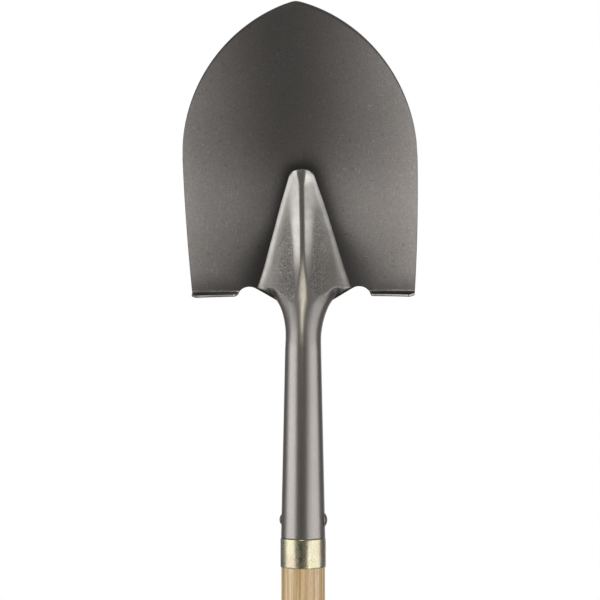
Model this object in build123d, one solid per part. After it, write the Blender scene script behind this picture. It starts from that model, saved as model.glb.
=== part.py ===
from build123d import *
from math import cos, degrees, exp, log, radians, sin, sqrt, tan
import os

# Frame: the shovel stands upright on the butt of its handle. +Z runs up the handle to the blade,
# the dished front of the blade faces -Y, and the origin is the centre of the flat butt face.
# All lengths are millimetres, all angles degrees.

# Handle
handle_length = 1080.0
handle_diameter = 42.0
butt_round = 9.0
tang_length = 185.0
tang_root_diameter = 37.8
tang_tip_diameter = 30.6
tang_tip_chamfer = 1.5

# Ferrule over the joint between handle and socket
ferrule_height = 28.0
ferrule_wall = 1.1
ferrule_seat_diameter = 41.4
ferrule_overlap = 14.0
ferrule_edge_chamfer = 0.3

# Socket: a closed cone from the ferrule up to the neck
socket_shoulder_diameter = 42.7
neck_diameter = 35.0
neck_height = 193.0
bore_end_gap = 2.0

# Rivet through socket and tang
rivet_height = 31.5
rivet_diameter = 7.0
rivet_head_diameter = 13.0
rivet_head_height = 2.4
rivet_crown_steps = 3

# Blade: a plate dished to one radius across and another along its length
heel_height = 253.1
heel_offset = 11.0
heel_lean = 9.5
blade_lean = 18.7
blade_width = 226.0
heel_width = 216.4
blade_length = 279.7
widest_height = 131.7
blade_thickness = 2.2
cross_radius = 407.0
length_radius = 1455.0
tip_round = 5.0

# Notches beside the neck and the slanting webs under them
notch_offset = 54.0
notch_top = 4.8
notch_radius = 12.6
web_slope = 31.4

# Treads: the heel of the blade turned forward
tread_depth = 11.5
tread_end_cut = 2.8
tread_bend = 2.4
bend_margin = 1.0
bend_relief = 0.05

# Frog: the raised ridge on the front that runs from the neck into the blade
frog_heel_width = 90.5
frog_taper = 16.5
frog_length = 115.5
wall_draft = 52.0
wall_height = 7.0
flank_margin = 10.0
flank_round = 3.0
flank_reach = 0.45
flank_rise = 0.25
crest_reach = 0.12
crest_power = 1.4
flare_radius = 80.0
flare_start = -47.1
corner_height = 1.5
corner_flare = 10.0
saddle_height = 32.0
saddle_front = 7.0
nose_height = 3.6
roof_height = 8.0
keel_height = 3.0
keel_length = 82.0
keel_reach = 0.25
core_share = 0.8
neck_inset = 0.05
neck_overlap = 6.0
neck_stations = 12
frog_stations = 7

# Clearances between pieces
ferrule_clearance = 0.1
tang_clearance = 0.1
rivet_clearance = 0.1

# Share of a radius at the middle of a quarter round
diagonal = sqrt(0.5)

# Heights that follow from the sizes above
mouth_z = handle_length - tang_length
ferrule_top_z = mouth_z + ferrule_overlap
ferrule_bottom_z = ferrule_top_z - ferrule_height
neck_z = mouth_z + neck_height
heel_z = mouth_z + heel_height
rivet_z = mouth_z + rivet_height

# The dish of the blade is part of a torus that lies across the shovel, in front of it
dish_y = heel_offset - length_radius * cos(radians(heel_lean))
dish_z = heel_z - length_radius * sin(radians(heel_lean))


def dish_at(x, z, depth=0.0):
    """Distance behind the handle axis of the dish, at a depth under its front face."""
    reach = length_radius - cross_radius + sqrt((cross_radius + depth) ** 2 - x**2)
    return dish_y + sqrt(reach**2 - (z - dish_z) ** 2)


def blend(value):
    """Smooth step from 0 to 1."""
    t = min(max(value, 0.0), 1.0)
    return t * t * (3.0 - 2.0 * t)


def socket_radius(z):
    """Outer radius of the socket cone."""
    share = (z - ferrule_top_z) / (neck_z - ferrule_top_z)
    return (socket_shoulder_diameter + (neck_diameter - socket_shoulder_diameter) * share) / 2


def blade_plane():
    """Plane of the blade's outline: origin at the heel, X across, Y up the blade, Z forward."""
    lean = radians(blade_lean)
    return Plane(origin=(0, heel_offset, heel_z), x_dir=(1, 0, 0), z_dir=(0, -cos(lean), -sin(lean)))


def blade_outline():
    """Right half of the outline and its mirror image: web, notch, heel, side and pointed arch."""
    slope = radians(web_slope)
    notch_middle = notch_top - notch_radius
    web_end = Vector(
        notch_offset - notch_radius * sin(slope), notch_middle + notch_radius * cos(slope)
    )
    web_foot = Vector(0, web_end.Y - web_end.X * tan(slope))
    notch_end = Vector(notch_offset + sqrt(notch_radius**2 - notch_middle**2), 0)
    heel = Vector(heel_width / 2, 0)
    widest = Vector(blade_width / 2, widest_height)
    tip = Vector(0, blade_length)
    half = Curve() + [
        Line(web_foot, web_end),
        ThreePointArc(web_end, (notch_offset, notch_top), notch_end),
        Line(notch_end, heel),
        TangentArc(widest, heel, tangent=(0, -1)),
        TangentArc(widest, tip, tangent=(0, 1)),
    ]
    outline = make_face(half + mirror(half, Plane.YZ))
    return fillet(outline.vertices().sort_by(Axis.Y)[-1], tip_round)


def dish_torus(depth):
    """Solid torus whose skin lies at a depth under the front face of the blade."""
    ring = Torus(length_radius - cross_radius, cross_radius + depth)
    return Plane(origin=(0, dish_y, dish_z), z_dir=(1, 0, 0)) * ring


def blade():
    """Dished plate, cut to its outline."""
    prism = extrude(blade_plane() * blade_outline(), blade_width / 2, both=True)
    return prism & dish_torus(blade_thickness) - dish_torus(0)


def treads():
    """Two lips that turn forward along the heel of the blade, and what their outer bends take off."""
    notch_middle = notch_top - notch_radius
    inner = notch_offset + sqrt(notch_radius**2 - notch_middle**2)
    outer = heel_width / 2
    plane = blade_plane()
    turn = Axis(plane.origin + plane.z_dir * cross_radius, plane.y_dir * -1)
    side = Plane(origin=plane.origin, x_dir=plane.z_dir, z_dir=plane.x_dir * -1)
    slope = tan(radians(blade_lean - heel_lean))
    core = core_share * blade_thickness
    top = blade_thickness + tread_bend
    cove = Vector(tread_bend - top * slope, top)
    bend = cove - Vector(tread_bend, tread_bend) * diagonal
    lip = make_face(
        [
            Polyline(
                (cove.X, blade_thickness),
                (tread_depth, blade_thickness),
                (tread_depth, 0),
                (-core, 0),
                (-core, top),
                (cove.X - tread_bend, top),
            ),
            ThreePointArc((cove.X - tread_bend, top), bend, (cove.X, blade_thickness)),
        ]
    )
    radius = tread_bend + blade_thickness
    rear = -blade_thickness - bend_relief
    middle = Vector(rear + radius - radius * slope, radius)
    bend = middle - Vector(radius, radius) * diagonal
    spare = make_face(
        [
            Polyline(
                (middle.X, 0),
                (middle.X, -bend_margin),
                (rear - bend_margin, -bend_margin),
                (rear - bend_margin, radius),
                (middle.X - radius, radius),
            ),
            ThreePointArc((middle.X - radius, radius), bend, (middle.X, 0)),
        ]
    )
    arc = 2 * degrees(outer / cross_radius)
    cut = make_face(
        Polyline(
            (inner, -radius * 2),
            (outer, -radius * 2),
            (outer, 0),
            (outer, outer**2 / (2 * cross_radius)),
            (outer - tread_end_cut, outer**2 / (2 * cross_radius) + tread_depth),
            (outer - tread_end_cut, 2 * outer),
            (inner + tread_end_cut, 2 * outer),
            (inner + tread_end_cut, inner**2 / (2 * cross_radius) + tread_depth),
            (inner, inner**2 / (2 * cross_radius)),
            close=True,
        )
    )
    ground = Plane(origin=plane.origin - plane.y_dir * radius, x_dir=plane.x_dir, z_dir=plane.y_dir * -1)
    block = ground * extrude(cut, -4 * radius)
    lips = revolve(side * lip, turn, arc) & block
    spares = revolve(side * spare, turn, arc) & block
    return lips + mirror(lips, Plane.YZ), spares + mirror(spares, Plane.YZ)


def soft_min(first, second, width):
    """Smaller of two values, rounded over where they cross."""
    return second - width * log(1 + exp((second - first) / width))


def shank_half_width(height):
    """Half width of neck and frog at a height over the heel: flare of the neck, then taper."""
    rise = max(height - flare_start, 0.0)
    flare = socket_radius(heel_z + min(height, flare_start))
    flare += rise**2 / (2 * flare_radius) + corner_flare * (rise / (corner_height - flare_start)) ** 8
    taper = frog_heel_width / 2 + flank_margin - height * tan(radians(frog_taper))
    return soft_min(flare, taper, flank_round)


def crest_front(height):
    """Distance of the crest in front of the handle axis: socket, saddle, rise to the nose."""
    neck = neck_height - heel_height
    if height < saddle_height:
        share = blend((height - neck) / (saddle_height - neck))
        start = socket_radius(heel_z + min(height, flare_start))
        return start + (saddle_front - start) * share
    nose_front = nose_height - dish_at(0, heel_z + frog_length)
    share = (height - saddle_height) / (frog_length - saddle_height)
    return saddle_front + (nose_front - saddle_front) * share**crest_power


def quarter(side, middle, side_handle, middle_handle):
    """Curve from the side of a section to its middle, and the same curve on the other side."""
    points = [side, side + side_handle, middle + middle_handle, middle]
    right = Bezier(*points)
    left = Bezier(*[Vector(-p.X, p.Y, p.Z) for p in points[::-1]])
    return right, left


def shank_section(height):
    """Closed section of neck and frog: round at the neck, a roof over the blade at the frog."""
    z = heel_z + height
    neck = neck_height - heel_height
    roof = blend((height - neck) / (roof_height - neck))
    fade = blend(height / keel_length)
    core = core_share * blade_thickness
    circle = 4 / 3 * (sqrt(2) - 1)
    half = shank_half_width(height) - neck_inset
    radius = socket_radius(heel_z + min(height, flare_start)) - neck_inset
    keel = dish_at(0, z, core) + (blade_thickness - core + keel_height) * (1 - fade)
    side = Vector(half, dish_at(half, z, core) * roof, z)
    crest = Vector(0, neck_inset - crest_front(height), z)
    back = Vector(0, radius + (keel - radius) * roof, z)
    drop = side.Y - crest.Y
    rise = back.Y - side.Y
    flank = Vector(-half * flank_reach, -drop * flank_rise, 0)
    upright = Vector(0, -drop * circle, 0)
    front_handle = upright + (flank - upright) * roof
    crest_handle = Vector(half * (circle + (crest_reach - circle) * roof), 0, 0)
    floor = Vector(-half / 2, half / 2 * half / cross_radius, 0)
    upright = Vector(0, rise * circle, 0)
    rear_handle = upright + (floor - upright) * roof
    back_handle = Vector(half * (circle + (keel_reach - circle) * roof), 0, 0)
    front = quarter(side, crest, front_handle, crest_handle)
    rear = quarter(side, back, rear_handle, back_handle)
    return Wire([edge.edge() for edge in front + rear])


def frog_walls():
    """What lies outside the drafted walls and round nose of the frog, in the plane of its foot."""
    nose_z = heel_z + frog_length
    heel = Vector(0, dish_at(0, heel_z), heel_z)
    nose = Vector(0, dish_at(0, nose_z), nose_z)
    up = (nose - heel).normalized()
    plane = Plane(origin=heel, x_dir=(1, 0, 0), z_dir=Vector(1, 0, 0).cross(up))
    length = (nose - heel).length
    slope = radians(frog_taper)
    half = frog_heel_width / 2
    nose_middle = (length - half * cos(slope)) / (1 - sin(slope))
    nose_radius = length - nose_middle
    drop = flank_margin + 2 * wall_height
    foot = Vector(half + drop * tan(slope), -drop)
    end = Vector(nose_radius * cos(slope), nose_middle + nose_radius * sin(slope))
    bend = Vector(nose_radius * diagonal, nose_middle + nose_radius * diagonal)
    line = Curve() + [
        Line((0, -drop), foot),
        Line(foot, end),
        ThreePointArc(end, bend, (0, length)),
    ]
    face = make_face(line + mirror(line, Plane.YZ))
    frog = extrude(face, wall_height, taper=wall_draft) + extrude(face, -wall_height)
    slab = Pos(0, length / 2, 0) * Box(2 * blade_width, length + 2 * flank_margin, 2 * wall_height)
    return plane * (slab - frog)


def shank():
    """Neck and frog: sections from the end of the socket to the nose, cut to the frog's walls."""
    neck = neck_height - heel_height
    low = [neck + (saddle_height - neck) * i / neck_stations for i in range(neck_stations + 1)]
    reach = frog_length + nose_height - saddle_height
    high = [saddle_height + reach * (i + 1) / frog_stations for i in range(frog_stations)]
    sections = [Pos(0, 0, -neck_overlap) * shank_section(neck)]
    sections += [shank_section(height) for height in low + high]
    return Solid.make_loft(sections, ruled=True) - frog_walls()


def cone_between(z_low, radius_low, z_high, radius_high):
    """Solid cone on the handle axis between two heights."""
    height = z_high - z_low
    return Pos(0, 0, (z_low + z_high) / 2) * Cone(radius_low, radius_high, height)


def socket_outside():
    """Solid cone of the socket, from the top of the ferrule to the neck."""
    return cone_between(ferrule_top_z, socket_shoulder_diameter / 2, neck_z, neck_diameter / 2)


def tang_radius(z):
    """Radius of the tapered tang."""
    share = (z - mouth_z) / tang_length
    return (tang_root_diameter + (tang_tip_diameter - tang_root_diameter) * share) / 2


def rivet_bore():
    """Hole for the rivet, straight through socket and tang."""
    radius = rivet_diameter / 2 + rivet_clearance
    return Pos(0, 0, rivet_z) * Rot(0, 90, 0) * Cylinder(radius, 2 * socket_shoulder_diameter)


def forged_head():
    """Blade, treads, frog, neck and socket in one forging."""
    end_z = handle_length + bore_end_gap
    bore = cone_between(
        mouth_z, tang_radius(mouth_z) + tang_clearance, end_z, tang_radius(end_z) + tang_clearance
    )
    land_height = ferrule_overlap + ferrule_wall
    land = Pos(0, 0, mouth_z + land_height / 2) * Cylinder(ferrule_seat_diameter / 2, land_height)
    lips, spares = treads()
    head = blade() + lips - spares
    head = head + shank()
    head = head + (socket_outside() + land)
    return head - bore - rivet_bore()


def handle():
    """Straight round handle with a rounded butt and a tapered tang."""
    radius = handle_diameter / 2
    tip = tang_tip_diameter / 2
    bend = (radius - butt_round * (1 - diagonal), butt_round * (1 - diagonal))
    profile = Curve() + [
        Line((0, 0), (radius - butt_round, 0)),
        ThreePointArc((radius - butt_round, 0), bend, (radius, butt_round)),
        Polyline(
            (radius, butt_round),
            (radius, ferrule_bottom_z),
            (ferrule_seat_diameter / 2, ferrule_bottom_z),
            (ferrule_seat_diameter / 2, mouth_z),
            (tang_root_diameter / 2, mouth_z),
            (tip, handle_length - tang_tip_chamfer),
            (tip - tang_tip_chamfer, handle_length),
            (0, handle_length),
            (0, 0),
        ),
    ]
    return revolve(Plane.XZ * make_face(profile), Axis.Z) - rivet_bore()


def ferrule():
    """Thin ring over the joint of handle and socket."""
    bore = ferrule_seat_diameter / 2 + ferrule_clearance
    middle = Pos(bore + ferrule_wall / 2, ferrule_top_z - ferrule_height / 2)
    section = middle * Rectangle(ferrule_wall, ferrule_height)
    outer = section.vertices().group_by(Axis.X)[-1]
    return revolve(Plane.XZ * chamfer(outer, ferrule_edge_chamfer), Axis.Z)


def rivet():
    """Round rivet with a crowned head on each side, seated on the socket."""
    seat = socket_radius(rivet_z)
    head = rivet_head_diameter / 2
    rim = seat + rivet_head_height / 4
    top = seat + rivet_head_height
    dome_radius = (head**2 + (top - rim) ** 2) / (2 * (top - rim))
    steps = [head * (1 - i / rivet_crown_steps) for i in range(rivet_crown_steps + 1)]
    crown = [(top - dome_radius + sqrt(dome_radius**2 - y**2), y) for y in steps]
    profile = Curve() + [
        Polyline((0, 0), (0, rivet_diameter / 2), (seat - head / 2, rivet_diameter / 2)),
        Polyline((seat - head / 2, rivet_diameter / 2), (seat - head / 2, head), (rim, head)),
        Polyline(*crown),
        Line((top, 0), (0, 0)),
    ]
    half = revolve(make_face(profile), Axis.X)
    core = Pos(0, 0, rivet_z) * Rot(0, 90, 0) * Cylinder(rivet_diameter / 2, 3 * seat)
    socket_skin = socket_outside() - core
    placed = Pos(0, 0, rivet_z) * (half + mirror(half, Plane.YZ))
    return placed - socket_skin


if __name__ == "__main__":
    os.makedirs("parts", exist_ok=True)
    for node in (forged_head, handle, ferrule, rivet):
        export_step(node(), f"parts/{node.__name__}.step")
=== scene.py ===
from math import atan2, cos, exp, log, pi, radians, sin, sqrt, tan

import bmesh
import bpy
from bpy.props import FloatProperty, FloatVectorProperty, PointerProperty
from mathutils import Matrix, Vector


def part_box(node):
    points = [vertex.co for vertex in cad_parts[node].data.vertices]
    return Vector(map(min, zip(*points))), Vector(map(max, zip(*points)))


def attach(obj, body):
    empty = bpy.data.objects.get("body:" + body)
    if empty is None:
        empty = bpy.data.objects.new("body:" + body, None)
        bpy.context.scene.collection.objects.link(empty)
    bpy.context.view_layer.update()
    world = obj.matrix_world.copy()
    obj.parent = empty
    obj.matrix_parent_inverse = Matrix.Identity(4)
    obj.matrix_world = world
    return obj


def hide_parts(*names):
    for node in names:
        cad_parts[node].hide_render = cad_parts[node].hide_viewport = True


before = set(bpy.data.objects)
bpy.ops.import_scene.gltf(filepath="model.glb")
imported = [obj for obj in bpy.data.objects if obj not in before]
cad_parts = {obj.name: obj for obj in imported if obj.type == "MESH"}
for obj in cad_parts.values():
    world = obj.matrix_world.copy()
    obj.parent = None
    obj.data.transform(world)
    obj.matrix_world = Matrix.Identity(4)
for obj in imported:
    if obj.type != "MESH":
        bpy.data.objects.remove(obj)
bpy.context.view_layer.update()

bl_info = {
    "name": "Firefighting shovel",
    "version": (1, 0, 0),
    "blender": (4, 5, 0),
    "location": "3D View > Sidebar > Shovel",
    "description": "Builds the forged head, handle, ferrule and rivet of a round-point shovel",
    "category": "Add Mesh",
}

HEAD_LOW, HEAD_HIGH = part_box("forged_head")
HANDLE_LOW, HANDLE_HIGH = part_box("handle")
FERRULE_LOW, FERRULE_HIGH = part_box("ferrule")
RIVET_LOW, RIVET_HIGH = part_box("rivet")

# Distance below which points count as one, and the slack in picking edges by their place
TINY = 1e-6
SLACK = 1e-5
# Gap, in widths of the rounding, past which two values no longer round each other over
FAR = 30


def length(name, description, default):
    """A length in metres."""
    return FloatProperty(name=name, description=description, default=default, unit="LENGTH", precision=5)


def angle(name, description, default):
    """An angle given in degrees."""
    return FloatProperty(name=name, description=description, default=radians(default), subtype="ANGLE")


def share(name, description, default):
    """A plain factor."""
    return FloatProperty(name=name, description=description, default=default, subtype="FACTOR")


def colour(name, description, default):
    """A linear colour."""
    shown = {"name": name, "description": description, "default": (*default, 1.0)}
    return FloatVectorProperty(**shown, size=4, subtype="COLOR", min=0.0, max=1.0)


class ShovelBlade(bpy.types.PropertyGroup):
    """Sizes of the dished blade and its treads"""

    heel_height: length("Heel height", "Height of the heel line above the socket mouth", 0.2531)
    heel_offset: length("Heel offset", "Distance of the front behind the handle axis at the heel", 0.011)
    heel_lean: angle("Heel lean", "Forward lean of the dish at the heel", 9.5)
    lean: angle("Blade lean", "Forward lean of the chord from heel to tip", 18.7)
    width: length("Width", "Largest width of the blade", HEAD_HIGH.x - HEAD_LOW.x)
    heel_width: length("Heel width", "Width across the outer ends of the treads", 0.2164)
    length: length("Length", "Heel line to tip, along the chord", 0.2797)
    widest: length("Widest height", "Distance from the heel line to the widest place", 0.1317)
    thickness: length("Thickness", "Thickness of the plate", 0.0022)
    cross_radius: length("Cross radius", "Radius of the dish from side to side", 0.407)
    length_radius: length("Length radius", "Radius of the dish from heel to tip", 1.455)
    tip_round: length("Tip round", "Half width of the rounded tip", 0.0030)
    notch_offset: length("Notch offset", "Distance of each notch from the middle", 0.054)
    notch_top: length("Notch top", "Height of a notch above the heel line", 0.0048)
    notch_radius: length("Notch radius", "Radius of a notch", 0.0126)
    web_slope: angle("Web slope", "Slope of the web between neck and notch", 31.4)
    tread_depth: length("Tread depth", "Distance a tread stands out in front of the blade", 0.0105)
    tread_cut: length("Tread end cut", "Slant of a tread's inner end", 0.0028)
    tread_corner: length("Tread corner", "Slant of a tread's outer end", 0.0044)
    tread_sink: length("Tread sink", "Drop of a tread's bend towards the notch", 0.0022)
    tread_narrow: length("Tread narrowing", "Loss of a tread's depth towards the notch", 0.0030)
    tread_bend: length("Tread bend", "Inner radius of a tread's bend", 0.0013)
    rim_round: length("Rim round", "Rounding of the rim", 0.0003)


class ShovelFrog(bpy.types.PropertyGroup):
    """Sizes of the ridge on the blade and of the flare below it"""

    width: length("Width", "Width of the ridge at the heel line", 0.0892)
    taper: angle("Taper", "Slope of each border against the middle", 16.2)
    length: length("Length", "Heel line to nose", 0.1170)
    draft: angle("Draft", "Slope of the border walls", 49.0)
    margin: length("Margin", "Distance the flanks run on past the border", 0.010)
    flank_round: length("Flank round", "Softness of the change from flare to taper", 0.003)
    flat: length("Crest flat", "Half width of the flat along the crest", 0.0006)
    shoulder: length("Crest shoulder", "Half width at which the flanks reach their full slope", 0.0036)
    saddle_flat: length("Saddle flat", "Half width of the flat in the saddle", 0.0)
    saddle_shoulder: length("Saddle shoulder", "Half width of the crest's shoulders in the saddle", 0.011)
    nose_flat: length("Nose flat", "Half width of the flat at the nose", 0.0026)
    nose_draft: angle("Nose draft", "Slope of the nose's end", 10.0)
    nose_bulge: length("Nose bulge", "How far the nose's corners stand out of a plain round", 0.0007)
    nose_foot: length("Nose foot", "Hollow rounding at the foot of the nose's end", 0.0007)
    nose_round: length("Nose round", "Softness of the nose's edge", 0.0011)
    nose_height: length("Nose height", "Height of the crest above the blade at the nose", 0.0036)
    steep: length("Steep width", "Width of the steep part of a flank beside the crest", 0.0065)
    flare_hollow: share("Flare hollow", "Slope at the crest over a flank's mean slope, in the flare", 1.0)
    middle_hollow: share("Middle hollow", "Slope at the crest over a flank's mean slope, in the middle", 1.6)
    nose_hollow: share("Nose hollow", "Slope at the crest over a flank's mean slope, at the nose", 1.1)
    heel_border: length("Heel border", "Height of the border over the blade at the heel", 0.0010)
    nose_border: length("Nose border", "Height of the border over the blade at the nose", 0.0005)
    crest_power: share("Crest power", "Shape of the crest line towards the nose", 1.4)
    crest_start: length("Crest start", "Height from the heel line at which the crest starts to sink", -0.056)
    saddle_height: length("Saddle height", "Height of the crest's saddle above the heel line", 0.032)
    saddle_front: length("Saddle front", "Distance of the saddle in front of the handle axis", 0.0070)
    flare_radius: length("Flare radius", "Radius of the flare from neck to ridge", 0.080)
    flare_start: length("Flare start", "Height of the start of the flare from the heel line", -0.0471)
    side_round: length("Side round", "Softness of the flare's sides", 0.006)
    corner_height: length("Corner height", "Height of the flare's corner from the heel line", 0.0005)
    corner_flare: length("Corner flare", "Extra width at the flare's corner", 0.0100)
    corner_round: length("Corner round", "Distance the border draws in at the flare's corner", 0.0009)
    heel_flare: length("Heel flare", "Spread of the ridge's border at the heel line", 0.0013)
    border_end: length("Border end", "How far the border runs on below the heel line", 0.0030)
    recess_middle: length("Recess place", "Half the distance between the recesses beside the flare", 0.0352)
    recess_width: length("Recess width", "Width of the hollow between border's end and flare", 0.0075)
    recess_low: length("Recess foot", "Depth of the hollow's foot below the heel line", 0.0130)
    recess_height: length("Recess height", "Height of the hollow between border's end and flare", 0.0140)
    recess_steep: share("Recess steepness", "How much steeper the recess's walls are than the border's", 3.5)
    arch_height: length("Arch height", "Height from the heel line up to which the neck is round", -0.054)
    flank_height: length("Flank height", "Height from the heel line at which the flanks are full", -0.006)
    roof_height: length("Roof height", "Height at which the neck has become the ridge", 0.008)
    keel_height: length("Keel height", "Height of the keel on the back", 0.003)
    keel_length: length("Keel length", "Length of the keel on the back", 0.082)
    keel_reach: share("Keel reach", "Roundness of the keel", 0.25)
    border_round: length("Border round", "Softness of the border's edge", 0.0014)
    heel_round: length("Heel round", "Softness of the border's edge at the heel", 0.0036)
    foot_round: length("Foot round", "Softness of the foot of the border", 0.0020)


class ShovelSocket(bpy.types.PropertyGroup):
    """Sizes of the closed socket"""

    mouth_z: length("Mouth height", "Height of the socket mouth above the butt", HEAD_LOW.z)
    shoulder_diameter: length("Shoulder diameter", "Diameter just above the ferrule", 0.0427)
    seat_diameter: length("Seat diameter", "Diameter under the ferrule", 0.0414)
    neck_diameter: length("Neck diameter", "Diameter at the narrowest place", 0.035)
    neck_height: length("Neck height", "Height of the narrowest place above the mouth", 0.193)
    shoulder_round: length("Shoulder round", "Rounding of the shoulder at the ferrule", 0.0006)


class ShovelHandle(bpy.types.PropertyGroup):
    """Sizes of the wooden handle"""

    diameter: length("Diameter", "Diameter of the handle", HANDLE_HIGH.x - HANDLE_LOW.x)
    butt_round: length("Butt round", "Rounding of the lower end", 0.009)
    tang_root: length("Tang root", "Diameter of the tang at the socket mouth", 0.0378)
    tang_tip: length("Tang tip", "Diameter of the tang at its end", 0.0306)
    tip_round: length("Tip round", "Rounding of the tang's end", 0.0015)


class ShovelFittings(bpy.types.PropertyGroup):
    """Sizes of the ferrule and the rivet"""

    ferrule_wall: length("Ferrule wall", "Thickness of the ferrule", 0.0011)
    ferrule_round: length("Ferrule round", "Rounding of the ferrule's edges", 0.0009)
    rivet_diameter: length("Rivet diameter", "Diameter of the rivet's shank", 0.007)
    rivet_head: length("Rivet head", "Diameter of a rivet head", 0.013)
    rivet_crown: length("Rivet crown", "Height of a rivet head over the socket", 0.0024)
    set_head: length("Set head", "Diameter of the hammered head on the left", 0.0105)
    set_crown: length("Set crown", "Height of the hammered head over the socket", 0.0020)


class ShovelFinish(bpy.types.PropertyGroup):
    """Colours of the surfaces"""

    steel: colour("Forged steel", "Lacquered dark steel", (0.185, 0.173, 0.164))
    steel_dark: colour("Scale", "Darker clouds left by the forge", (0.107, 0.099, 0.093))
    steel_blotch: colour("Blotches", "Dark blotches on the plate", (0.075, 0.070, 0.066))
    steel_scratch: colour("Scratches", "Scratches and bright specks", (0.38, 0.365, 0.35))
    # Colour of the wear and painted highlights on edges, flanks, tread lips and bends
    steel_wear_and_highlight: colour("Rubbed steel", "Edges and flanks that are rubbed bright", (0.32, 0.312, 0.298))
    # Colour of the painted shade beside the ridge, at the heel and on the rim's edge
    steel_shade: colour("Dark ground", "Ground of the plate beside the ridge", (0.036, 0.034, 0.032))
    flank_skin: colour("Flank skin", "Skin of the ridge's flanks", (0.130, 0.123, 0.117))
    flank_pit: colour("Flank pits", "Pits in the ridge's flanks", (0.056, 0.053, 0.050))
    flank_fleck: colour("Flank flecks", "Bright flecks between the pits", (0.36, 0.35, 0.335))
    wood: colour("Ash", "Sanded ash", (0.450, 0.300, 0.130))
    wood_dark: colour("Ash grain", "Darker lines of the grain", (0.31, 0.19, 0.074))
    wood_red: colour("Reddish ash", "Reddish stretches of the wood", (0.470, 0.305, 0.160))
    wood_yellow: colour("Yellowish ash", "Yellowish stretches of the wood", (0.45, 0.328, 0.138))
    wood_pale: colour("Pale ash", "Pale streaks of the wood", (0.61, 0.465, 0.262))
    wood_pore: colour("Ash pores", "Open pores of the wood", (0.25, 0.145, 0.062))
    plating: colour("Plating", "Yellow zinc plating", (0.338, 0.308, 0.238))
    plating_green: colour("Green tint", "Greenish tint of the plating", (0.305, 0.288, 0.198))
    plating_pink: colour("Pink tint", "Pinkish tint of the plating", (0.30, 0.215, 0.165))
    plating_spot: colour("Plating spots", "Dark spots in the plating", (0.13, 0.12, 0.085))
    rivet: colour("Rivet", "Dark steel of the rivet", (0.10, 0.097, 0.092))
    rivet_light: colour("Rivet dents", "Lighter hammer marks on the rivet", (0.18, 0.174, 0.167))
    floor: colour("Floor", "Pale studio floor", (0.80, 0.80, 0.79))


def clamp(value):
    """A value held between nought and one."""
    return min(max(value, 0.0), 1.0)


def blend(value):
    """Smooth step from nought to one."""
    value = clamp(value)
    return value * value * (3 - 2 * value)


def rise(value, ends):
    """Smooth step from nought at the first end to one at the second."""
    return blend((value - ends[0]) / (ends[1] - ends[0]))


def fade(distance, reach):
    """One at no distance, falling away like a bell."""
    return exp(-((distance / reach) ** 2))


def mix(first, second, part):
    """Value between two others."""
    return first + (second - first) * part


def soft_min(first, second, width):
    """Smaller of two values, rounded over where they cross."""
    gap = (second - first) / width
    return first if gap > FAR else second - width * log(1 + exp(gap))


def round_min(first, second, width):
    """Smaller of two heights with a rounded edge."""
    near = max(width - abs(first - second), 0.0)
    return min(first, second) - near * near / (4 * width)


def round_max(first, second, width):
    """Larger of two heights with a hollow fillet."""
    return -round_min(-first, -second, width)


def bezier(points, part):
    """Point on a cubic curve."""
    rest = 1 - part
    weights = (rest**3, 3 * rest**2 * part, 3 * rest * part**2, part**3)
    return sum((p * w for p, w in zip(points, weights)), Vector((0.0, 0.0)))


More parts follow.
